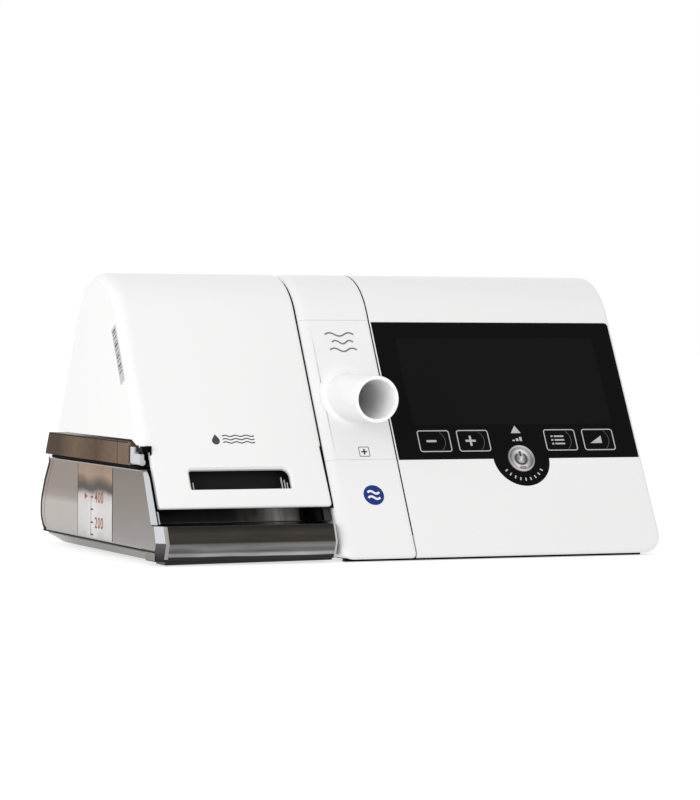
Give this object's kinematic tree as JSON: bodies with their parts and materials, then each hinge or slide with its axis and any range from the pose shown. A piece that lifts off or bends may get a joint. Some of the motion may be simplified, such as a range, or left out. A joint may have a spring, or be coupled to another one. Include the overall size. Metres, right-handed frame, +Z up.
{
  "type": "mechanical ventilator",
  "caption": "Bedside positive-airway-pressure ventilator with a slanted glossy display, a level hose outlet and a docked heated humidifier with a smoky water tank.",
  "frame": {"origin": "middle of the bounding box, on the surface that the machine stands on", "axes": "+X along the front from the humidifier to the display unit, +Y from the front to the back, +Z up"},
  "size_m": [0.26, 0.1788, 0.135],
  "materials": {
    "white_gloss": "glossy injection-moulded white, fine moulded texture",
    "black_glass": "black piano-gloss acrylic",
    "silver_metal": "satin silver, turned rings",
    "dark_plastic": "black, finely spark-eroded",
    "smoky_clear": "smoke-tinted clear polycarbonate",
    "smoky_brown": "dark smoke-tinted clear polycarbonate, brown in depth",
    "clear_plastic": "frosted clear polycarbonate",
    "rubber": "matt black rubber",
    "silicone": "translucent grey silicone",
    "steel": "bright zinc-plated or stainless steel",
    "aluminium": "ground aluminium",
    "circuit_board": "green solder-masked board",
    "foam": "open-cell acoustic foam",
    "filter_fleece": "white filter fleece",
    "grey_plastic": "grey engineering plastic",
    "grey_print": "grey screen print",
    "dark_print": "black pad print",
    "red_print": "red-brown screen print",
    "blue_print": "blue pad print",
    "label_paper": "matt grey label film"
  },
  "bodies": {
    "housing": {"display_shell": "white_gloss", "outlet_shell": "white_gloss", "port_cover": "white_gloss", "display_glass": "black_glass", "base_pan": "dark_plastic", "blower_scroll": "dark_plastic", "blower_lid": "dark_plastic", "power_socket": "dark_plastic", "dock_connector": "dark_plastic", "dock_wall": "dark_plastic", "air_manifold": "dark_plastic", "dock_tray": "smoky_clear", "rubber_foot_1": "rubber", "rubber_foot_2": "rubber", "rubber_foot_3": "rubber", "rubber_foot_4": "rubber", "dock_foot_1": "rubber", "dock_foot_2": "rubber", "dock_foot_3": "rubber", "dock_foot_4": "rubber", "blower_mount": "silicone", "supply_duct": "silicone", "outlet_duct": "silicone", "supply_seal": "silicone", "return_seal": "silicone", "heater_pad": "silicone", "base_screw_1": "steel", "base_screw_2": "steel", "base_screw_3": "steel", "base_screw_4": "steel", "blower_motor": "steel", "hinge_rod": "steel", "heater_plate": "aluminium", "key_board": "circuit_board", "main_board": "circuit_board", "muffler_foam": "foam", "inlet_filter": "filter_fleece", "lcd_module": "grey_plastic", "muffler_box": "grey_plastic", "muffler_lid": "grey_plastic"},
    "cover": {"humidifier_cover": "white_gloss"},
    "tank": {"tank_tub": "smoky_clear", "tank_front": "smoky_brown", "tank_plate": "steel", "tank_gasket": "rubber", "tank_lid": "smoky_brown"},
    "latch": {"tank_latch": "clear_plastic"},
    "rotor": {"impeller": "grey_plastic", "motor_shaft": "steel"},
    "door": {"filter_door": "white_gloss"},
    "minus_key": {"key_minus": "black_glass"},
    "plus_key": {"key_plus": "black_glass"},
    "menu_key": {"key_menu": "black_glass"},
    "ramp_key": {"key_ramp": "black_glass"},
    "power_key": {"power_button": "silver_metal"}
  },
  "joints": [
    {"name": "cover_hinge", "type": "hinge", "parent": "housing", "child": "cover", "pos_m": [-0.085, 0.06, 0.062], "axis": [-1, 0, 0], "range_deg": [0, 75]},
    {"name": "tank_slide", "type": "slide", "parent": "housing", "child": "tank", "axis": [-1, 0, 0], "range_m": [0, 0.09]},
    {"name": "latch_hinge", "type": "hinge", "parent": "tank", "child": "latch", "pos_m": [-0.1285, -0.054, 0.0467], "axis": [0, -1, 0], "range_deg": [0, 70]},
    {"name": "rotor_spin", "type": "hinge", "parent": "housing", "child": "rotor", "pos_m": [0.062, 0.017, 0.03], "axis": [0, 0, 1], "continuous": true},
    {"name": "door_hinge", "type": "hinge", "parent": "housing", "child": "door", "pos_m": [0.085, 0.07873, 0.03186], "axis": [-1, 0, 0], "range_deg": [0, 90]},
    {"name": "minus_press", "type": "slide", "parent": "housing", "child": "minus_key", "axis": [0, 0.8773, -0.4799], "range_m": [0, 0.0008], "stiffness_N_per_m": 400, "springref_m": -0.0006},
    {"name": "plus_press", "type": "slide", "parent": "housing", "child": "plus_key", "axis": [0, 0.8773, -0.4799], "range_m": [0, 0.0008], "stiffness_N_per_m": 400, "springref_m": -0.0006},
    {"name": "menu_press", "type": "slide", "parent": "housing", "child": "menu_key", "axis": [0, 0.8773, -0.4799], "range_m": [0, 0.0008], "stiffness_N_per_m": 400, "springref_m": -0.0006},
    {"name": "ramp_press", "type": "slide", "parent": "housing", "child": "ramp_key", "axis": [0, 0.8773, -0.4799], "range_m": [0, 0.0008], "stiffness_N_per_m": 400, "springref_m": -0.0006},
    {"name": "power_press", "type": "slide", "parent": "housing", "child": "power_key", "axis": [0, 0.8773, -0.4799], "range_m": [0, 0.0008], "stiffness_N_per_m": 400, "springref_m": -0.0006}
  ]
}
